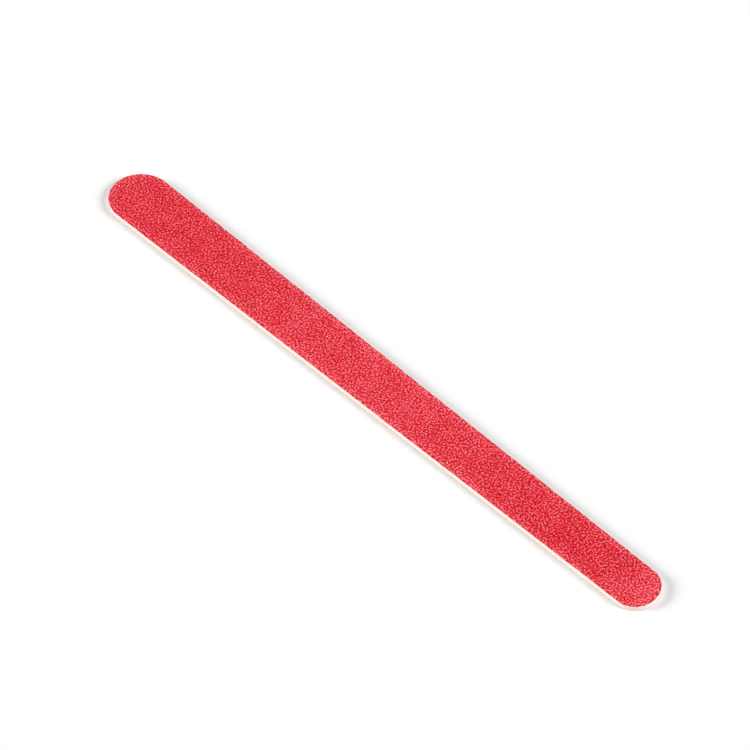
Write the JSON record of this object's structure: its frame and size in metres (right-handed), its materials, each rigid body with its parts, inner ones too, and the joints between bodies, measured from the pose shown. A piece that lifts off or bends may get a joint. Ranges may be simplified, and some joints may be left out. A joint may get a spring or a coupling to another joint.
{
  "type": "emery board",
  "caption": "Flat tapered emery board with round ends: a thin wooden core faced on both sides with red abrasive paper, for filing nails.",
  "frame": {"origin": "centre of the board's bounding box, on the underside that lies on the table", "axes": "+X along the board from the wide end to the narrow end, +Z out of the upper grit face, through the thickness"},
  "size_m": [0.178, 0.016, 0.0016],
  "materials": {
    "grit": "rough abrasive grain with a red resin coat",
    "bond_resin": "satin red resin",
    "backing_paper": "matt off-white paper",
    "glue": "dried clear adhesive",
    "core_wood": "bare pale wood, die-cut edge"
  },
  "bodies": {
    "root": {"lower_grit": "grit", "lower_bond_coat": "bond_resin", "lower_backing_paper": "backing_paper", "lower_glue_film": "glue", "wood_core": "core_wood", "upper_glue_film": "glue", "upper_backing_paper": "backing_paper", "upper_bond_coat": "bond_resin", "upper_grit": "grit"}
  },
  "joints": []
}
